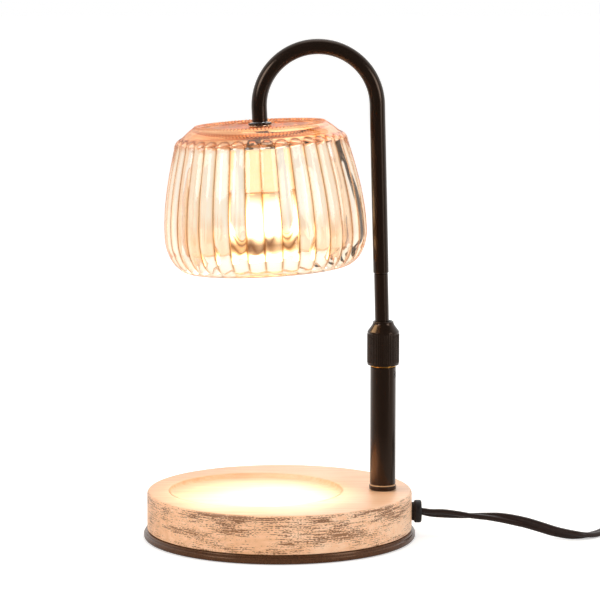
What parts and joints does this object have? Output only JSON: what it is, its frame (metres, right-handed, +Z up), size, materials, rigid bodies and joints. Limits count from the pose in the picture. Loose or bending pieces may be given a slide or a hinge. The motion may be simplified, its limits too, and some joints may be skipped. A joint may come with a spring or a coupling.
{
  "type": "candle warmer lamp",
  "caption": "Candle warmer lamp: ribbed amber glass shade over a reflector bulb on a bent black arm that slides and swivels in a collar on a round wooden base, with a dimmer cord.",
  "frame": {"origin": "centre of the base's underside, on the surface that it stands on", "axes": "+Z up, +X from the base's centre to the post and the cord, +Y away from the pictured side"},
  "size_m": [0.4044, 0.2118, 0.2815],
  "materials": {
    "wood": "pale whitewashed wood with dark worn streaks, oiled satin",
    "black_plate": "satin black painted sheet steel",
    "black_metal": "satin black painted steel tube",
    "steel": "zinc-plated steel",
    "brass": "bright brass",
    "amber_glass": "clear ribbed glass tinted peach amber",
    "clear_glass": "clear glass",
    "reflector": "coated reflector glass with a warm metallic look",
    "ceramic": "white glazed ceramic, opaque",
    "silicone": "translucent white silicone",
    "pad": "black foam pad",
    "nylon": "natural nylon",
    "cord_vinyl": "dark brown-black vinyl cord",
    "black_plastic": "satin black plastic",
    "board": "green circuit board"
  },
  "bodies": {
    "base": {"base_pad": "pad", "base_plate": "black_plate", "base_screw_1": "steel", "base_screw_2": "steel", "base_screw_3": "steel", "wood_base": "wood", "cord_bushing": "black_plastic", "wire_connector_1": "nylon", "wire_connector_2": "nylon", "mains_lead": "cord_vinyl", "post_lead": "cord_vinyl", "post_foot": "black_metal", "post_tube": "black_metal", "post_plug": "steel", "post_nipple": "steel", "post_washer": "steel", "post_nut": "steel", "collar_bush": "steel", "grub_screw": "steel", "cord_lead": "cord_vinyl", "cord_link": "cord_vinyl", "cord_coil": "cord_vinyl", "cord_tail": "cord_vinyl", "switch_base": "black_plastic", "switch_cover": "black_plastic", "switch_boot_1": "black_plastic", "switch_boot_2": "black_plastic", "switch_screw_1": "steel", "switch_screw_2": "steel", "dimmer_board": "board", "dimmer_body": "steel", "plug_body": "black_plastic", "plug_blade_1": "brass", "plug_blade_2": "brass"},
    "collar": {"lock_collar": "black_metal"},
    "swivel": {"collet": "nylon"},
    "arm": {"slide_tube": "black_metal", "gooseneck_tube": "black_metal", "head_lead": "cord_vinyl", "head_flange": "black_metal", "head_nipple": "steel", "glass_shade": "amber_glass", "shade_gasket": "silicone", "shade_washer": "steel", "shade_nut": "steel", "holder_bracket": "steel", "lamp_holder": "ceramic", "holder_screw_1": "steel", "holder_screw_2": "steel", "holder_contact_1": "brass", "holder_contact_2": "brass"},
    "bulb": {"bulb_base": "ceramic", "bulb_reflector": "reflector", "bulb_lens": "clear_glass", "bulb_capsule": "clear_glass"},
    "dial": {"dimmer_dial": "black_plastic"}
  },
  "joints": [
    {"name": "arm_swivel", "type": "hinge", "parent": "base", "child": "swivel", "pos_m": [0.0578, 0, 0.1231], "axis": [-0.0253, 0, 0.9997], "range_deg": [-170, 170]},
    {"name": "arm_slide", "type": "slide", "parent": "swivel", "child": "arm", "axis": [-0.0253, 0, 0.9997], "range_m": [-0.024, 0.021], "deforming": ["post_lead"]},
    {"name": "collar_turn", "type": "hinge", "parent": "base", "child": "collar", "pos_m": [0.0585, 0, 0.0983], "axis": [0, 0, 1], "range_deg": [0, 90]},
    {"name": "bulb_twist", "type": "hinge", "parent": "arm", "child": "bulb", "pos_m": [-0.01075, 0, 0.23521], "axis": [-0.0523, 0, 0.9986], "range_deg": [0, 35]},
    {"name": "dial_turn", "type": "hinge", "parent": "base", "child": "dial", "pos_m": [0.2187, 0.0649, 0.0166], "axis": [0, 0, 1], "range_deg": [-280, 0]}
  ]
}
